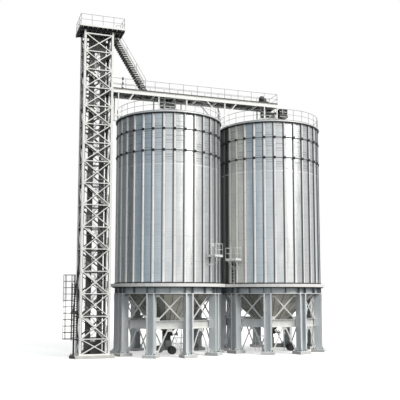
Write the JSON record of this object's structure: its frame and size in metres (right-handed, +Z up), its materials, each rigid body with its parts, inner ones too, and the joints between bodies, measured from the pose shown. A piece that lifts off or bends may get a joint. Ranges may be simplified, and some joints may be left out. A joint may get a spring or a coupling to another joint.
{
  "type": "twin hopper-bottom grain silo plant",
  "caption": "Two round hopper-bottom steel silos on braced columns, with a lattice elevator tower, stairs, ladders and a conveyor bridge over the roofs.",
  "frame": {"origin": "on the ground, at the middle of the plant's length and width", "axes": "+X along the plant from the elevator tower to the far silo, -Y the front, +Z up"},
  "size_m": [25.26, 10.52, 29.7503],
  "materials": {
    "wall_sheet": "galvanised corrugated sheet, satin",
    "stiffener_steel": "galvanised rolled section, satin",
    "roof_sheet": "galvanised ribbed sheet",
    "frame_steel": "grey painted structural steel",
    "light_steel": "light grey galvanised bars and gratings",
    "hopper_steel": "dark smooth steel plate with radial seams",
    "machine_dark": "dark painted machinery",
    "trunk_steel": "dull grey pressed steel casing",
    "ladder_steel": "weathered grey bar",
    "concrete": "rough cast concrete"
  },
  "bodies": {
    "root": {"left_wall_front": "wall_sheet", "left_wall_back": "wall_sheet", "left_stiffener_cage": "stiffener_steel", "left_roof": "roof_sheet", "left_roof_rail": "light_steel", "left_ring_girder": "frame_steel", "left_walkway": "light_steel", "left_hopper": "hopper_steel", "left_discharge_gate": "machine_dark", "left_leg_1": "frame_steel", "left_leg_2": "frame_steel", "left_leg_3": "frame_steel", "left_leg_4": "frame_steel", "left_leg_5": "frame_steel", "left_leg_6": "frame_steel", "left_leg_7": "frame_steel", "left_leg_8": "frame_steel", "left_leg_9": "frame_steel", "left_bracing": "light_steel", "left_access_platform": "light_steel", "left_discharge_conveyor": "machine_dark", "right_wall_front": "wall_sheet", "right_wall_back": "wall_sheet", "right_stiffener_cage": "stiffener_steel", "right_roof": "roof_sheet", "right_roof_rail": "light_steel", "right_ring_girder": "frame_steel", "right_walkway": "light_steel", "right_hopper": "hopper_steel", "right_discharge_gate": "machine_dark", "right_leg_1": "frame_steel", "right_leg_2": "frame_steel", "right_leg_3": "frame_steel", "right_leg_4": "frame_steel", "right_leg_5": "frame_steel", "right_leg_6": "frame_steel", "right_leg_7": "frame_steel", "right_leg_8": "frame_steel", "right_leg_9": "frame_steel", "right_bracing": "light_steel", "right_access_platform": "light_steel", "right_discharge_conveyor": "machine_dark", "right_access_ladder": "light_steel", "tower_front_face": "light_steel", "tower_back_face": "light_steel", "tower_left_face": "light_steel", "tower_right_face": "light_steel", "tower_base": "concrete", "tower_platform": "light_steel", "tower_platform_rail": "light_steel", "bucket_elevator": "trunk_steel", "tower_stairs": "light_steel", "tower_caged_ladder": "ladder_steel", "bridge_frame": "light_steel", "bridge_rail": "light_steel", "bridge_conveyor": "trunk_steel", "bridge_stair": "light_steel", "right_roof_fan": "machine_dark"}
  },
  "joints": []
}
